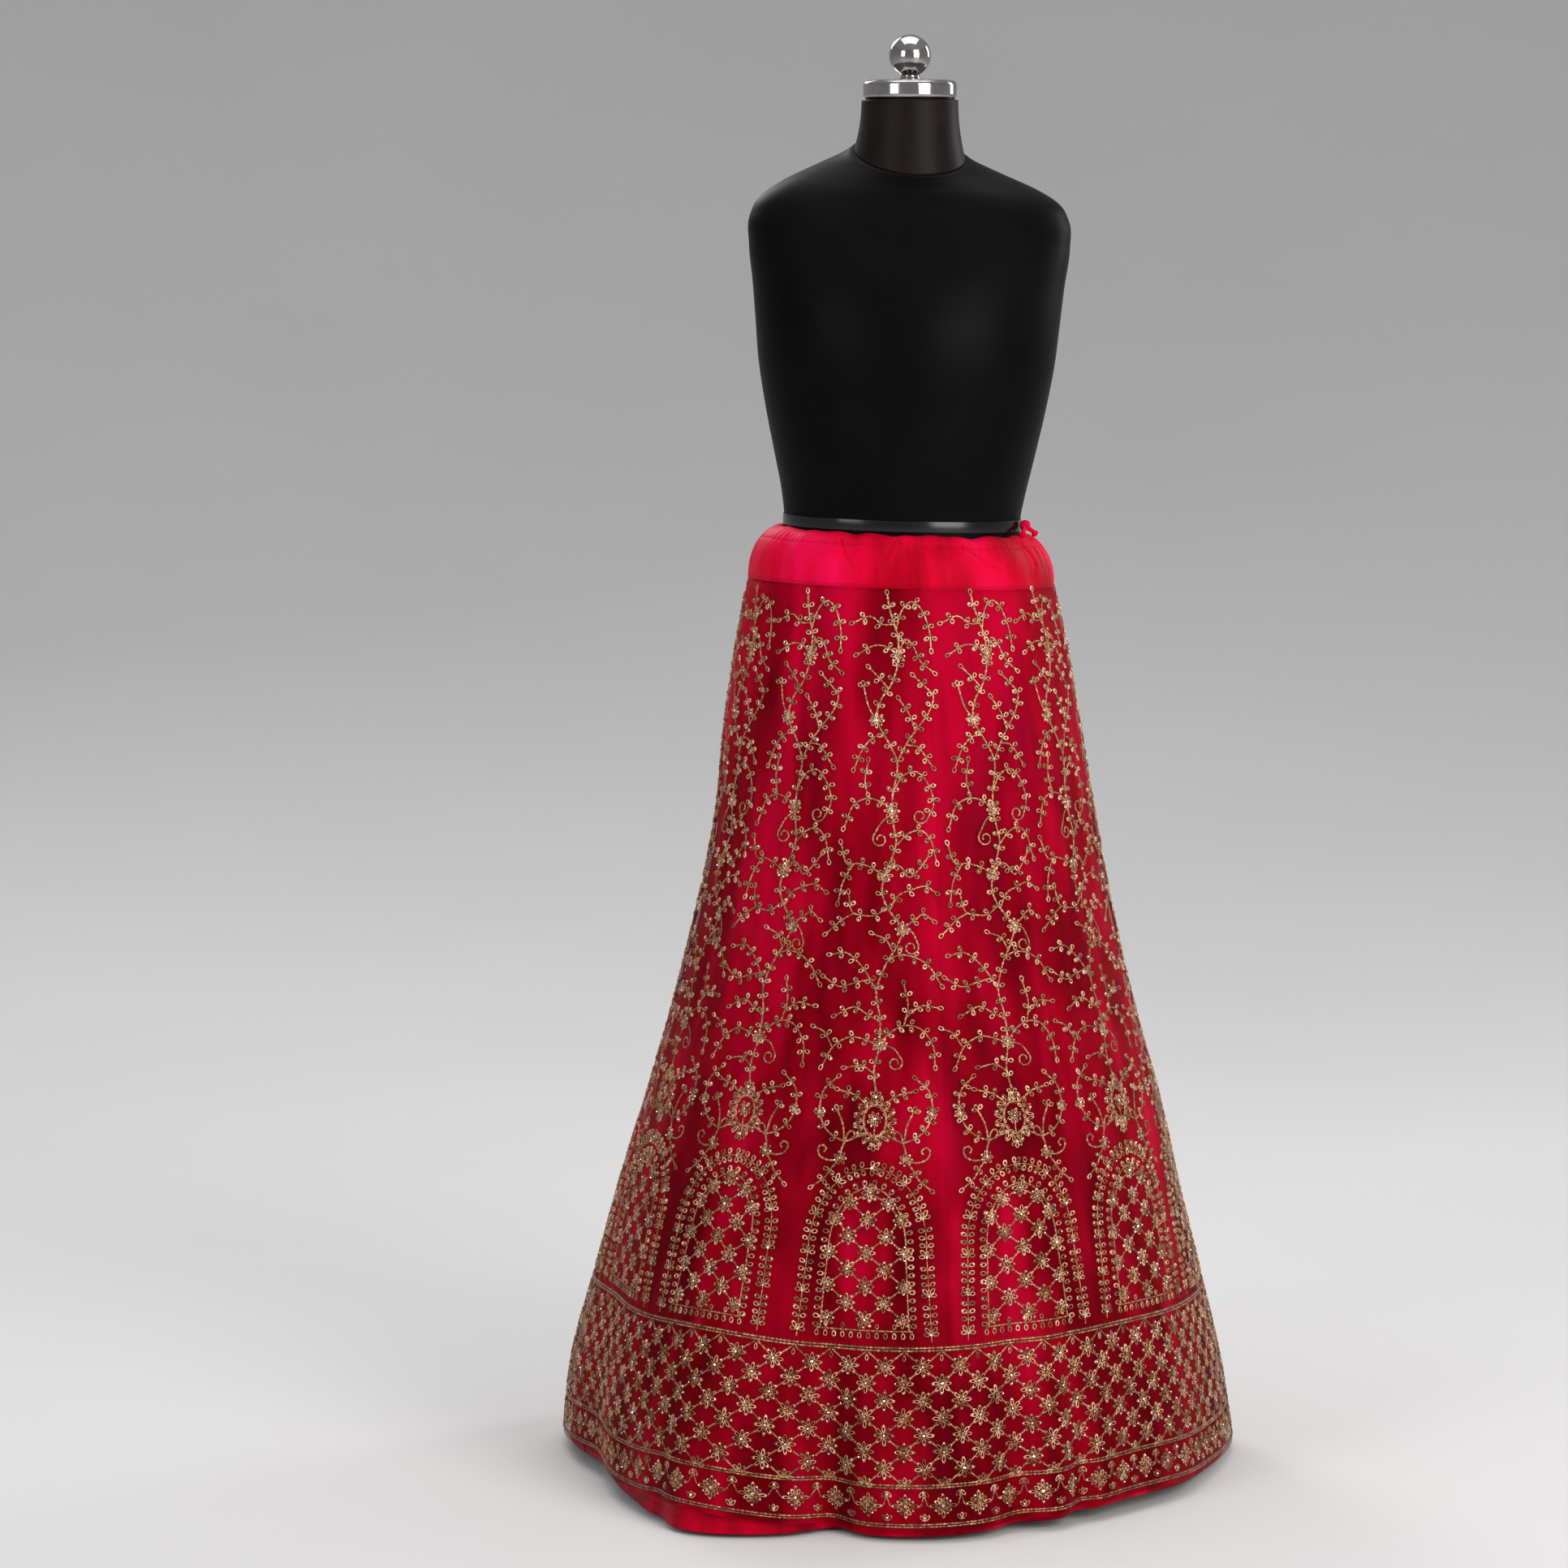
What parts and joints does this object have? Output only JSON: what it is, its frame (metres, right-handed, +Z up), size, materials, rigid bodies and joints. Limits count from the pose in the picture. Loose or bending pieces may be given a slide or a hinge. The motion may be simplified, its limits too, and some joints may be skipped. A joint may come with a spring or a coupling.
{
  "type": "lehenga skirt on dress form",
  "caption": "Full-length flared lehenga skirt of embroidered net over satin, with a drawstring waistband, worn on a limbless black dress form.",
  "frame": {"origin": "centre of the stand's round base, on the floor", "axes": "+Z up, the skirt's front faces -Y, +X to the right of someone who looks at the front"},
  "size_m": [0.7289, 0.7373, 1.5212],
  "materials": {
    "net": "fine soft net in deep crimson, over satin",
    "satin": "crimson satin with a pink sheen",
    "zari": "dull antique gold metallic thread embroidery",
    "sequin": "small pale gold sequins",
    "form_black": "black stretch cover, pulled smooth",
    "gloss_black": "glossy black plastic band",
    "neck_black": "brownish black, slightly satin",
    "chrome": "polished",
    "stand_black": "satin black paint"
  },
  "bodies": {
    "root": {"net_kali_01": "net", "net_kali_02": "net", "net_kali_03": "net", "net_kali_04": "net", "net_kali_05": "net", "net_kali_06": "net", "net_kali_07": "net", "net_kali_08": "net", "net_kali_09": "net", "net_kali_10": "net", "net_kali_11": "net", "net_kali_12": "net", "lining_front_right": "satin", "lining_back_right": "satin", "lining_back_left": "satin", "lining_front_left": "satin", "waistband_front": "satin", "waistband_back": "satin", "drawstring_knot": "satin", "drawstring_end_front": "satin", "drawstring_end_side": "satin", "form_torso": "form_black", "form_waist_ring": "gloss_black", "form_neck": "neck_black", "form_neck_cap": "chrome", "form_finial": "chrome", "form_pole": "chrome", "form_base": "stand_black"}
  },
  "joints": []
}
